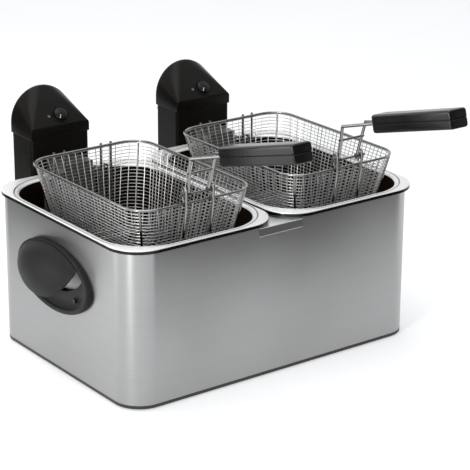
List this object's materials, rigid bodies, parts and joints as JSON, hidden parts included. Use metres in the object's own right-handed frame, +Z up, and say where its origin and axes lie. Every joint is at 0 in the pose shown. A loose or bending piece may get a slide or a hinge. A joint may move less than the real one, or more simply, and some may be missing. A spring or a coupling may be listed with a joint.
{
  "type": "twin-tank deep fryer",
  "caption": "Twin-tank electric deep fryer: brushed steel body, lift-out tanks with control heads behind, and wire baskets raised to drain on folding handles.",
  "frame": {"origin": "on the table under the centre of the steel body, in the plane of the feet", "axes": "+Z up; the long faces run along X; the basket grips point to -Y, the front; the control heads are at +Y"},
  "size_m": [0.516, 0.5652, 0.3625],
  "materials": {
    "brushed_steel": "fine horizontal brushing, satin",
    "bright_steel": "polished stainless steel",
    "dark_tray": "black satin paint",
    "rubber": "matt black rubber",
    "black_plastic": "satin black moulded plastic",
    "grip_plastic": "fine matt black plastic",
    "dial_plastic": "satin black with a pale pointer",
    "lamp_lens": "smoked clear lens, dark while the lamp is off",
    "reset_red": "satin red plastic",
    "zinc": "dull zinc plate",
    "brass": "plain metal",
    "ceramic": "off-white ceramic",
    "element_steel": "dull heat-darkened steel tube",
    "wire_steel": "bright plated wire",
    "mesh_steel": "plated wire mesh"
  },
  "bodies": {
    "fryer_body": {"housing": "brushed_steel", "base_tray": "dark_tray", "feet": "rubber", "base_screws": "zinc", "centre_bridge": "brushed_steel", "left_carry_handle": "black_plastic", "right_carry_handle": "black_plastic", "carry_screws": "zinc", "left_backing_plate": "zinc", "right_backing_plate": "zinc", "left_rear_bracket": "bright_steel", "right_rear_bracket": "bright_steel", "bracket_rivets": "zinc"},
    "left_tank_body": {"left_tank": "bright_steel"},
    "left_head": {"left_head_case": "black_plastic", "left_head_cap": "black_plastic", "left_rear_cover": "black_plastic", "left_head_screws": "zinc", "left_thermostat": "brass", "left_lamp": "lamp_lens", "left_cutout": "ceramic", "left_cord_gland": "black_plastic", "left_terminal_block": "ceramic", "left_microswitch": "dial_plastic", "left_element": "element_steel", "left_element_guard": "bright_steel", "left_sensor_bulb": "brass"},
    "left_dial_body": {"left_dial": "dial_plastic"},
    "left_reset": {"left_reset_button": "reset_red"},
    "left_basket": {"left_basket_frame": "wire_steel", "left_basket_mesh": "mesh_steel", "left_basket_hooks": "wire_steel", "left_handle_bracket": "wire_steel"},
    "left_handle": {"left_handle_wire": "wire_steel", "left_grip": "grip_plastic"},
    "right_tank_body": {"right_tank": "bright_steel"},
    "right_head": {"right_head_case": "black_plastic", "right_head_cap": "black_plastic", "right_rear_cover": "black_plastic", "right_head_screws": "zinc", "right_thermostat": "brass", "right_lamp": "lamp_lens", "right_cutout": "ceramic", "right_cord_gland": "black_plastic", "right_terminal_block": "ceramic", "right_microswitch": "dial_plastic", "right_element": "element_steel", "right_element_guard": "bright_steel", "right_sensor_bulb": "brass"},
    "right_dial_body": {"right_dial": "dial_plastic"},
    "right_reset": {"right_reset_button": "reset_red"},
    "right_basket": {"right_basket_frame": "wire_steel", "right_basket_mesh": "mesh_steel", "right_basket_hooks": "wire_steel", "right_handle_bracket": "wire_steel"},
    "right_handle": {"right_handle_wire": "wire_steel", "right_grip": "grip_plastic"}
  },
  "joints": [
    {"name": "left_tank_lift", "type": "slide", "parent": "fryer_body", "child": "left_tank_body", "axis": [0, 0, 1], "range_m": [0, 0.2]},
    {"name": "left_head_lift", "type": "slide", "parent": "left_tank_body", "child": "left_head", "axis": [0, 0, 1], "range_m": [0, 0.2]},
    {"name": "left_basket_lower", "type": "slide", "parent": "left_head", "child": "left_basket", "axis": [0, 0, 1], "range_m": [-0.062, 0.15]},
    {"name": "left_handle_fold", "type": "hinge", "parent": "left_basket", "child": "left_handle", "pos_m": [-0.11425, -0.1426, 0.255], "axis": [-1, 0, 0], "range_deg": [0, 165]},
    {"name": "left_dial_turn", "type": "hinge", "parent": "left_head", "child": "left_dial_body", "pos_m": [-0.10775, 0.17413, 0.27356], "axis": [0, 0.6707, -0.7417], "range_deg": [0, 270]},
    {"name": "left_reset_press", "type": "slide", "parent": "left_head", "child": "left_reset", "axis": [0, -1, 0], "range_m": [0, 0.002], "stiffness_N_per_m": 600},
    {"name": "right_tank_lift", "type": "slide", "parent": "fryer_body", "child": "right_tank_body", "axis": [0, 0, 1], "range_m": [0, 0.2]},
    {"name": "right_head_lift", "type": "slide", "parent": "right_tank_body", "child": "right_head", "axis": [0, 0, 1], "range_m": [0, 0.2]},
    {"name": "right_basket_lower", "type": "slide", "parent": "right_head", "child": "right_basket", "axis": [0, 0, 1], "range_m": [-0.062, 0.15]},
    {"name": "right_handle_fold", "type": "hinge", "parent": "right_basket", "child": "right_handle", "pos_m": [0.11425, -0.1426, 0.255], "axis": [-1, 0, 0], "range_deg": [0, 165]},
    {"name": "right_dial_turn", "type": "hinge", "parent": "right_head", "child": "right_dial_body", "pos_m": [0.12075, 0.17413, 0.27356], "axis": [0, 0.6707, -0.7417], "range_deg": [0, 270]},
    {"name": "right_reset_press", "type": "slide", "parent": "right_head", "child": "right_reset", "axis": [0, -1, 0], "range_m": [0, 0.002], "stiffness_N_per_m": 600}
  ]
}
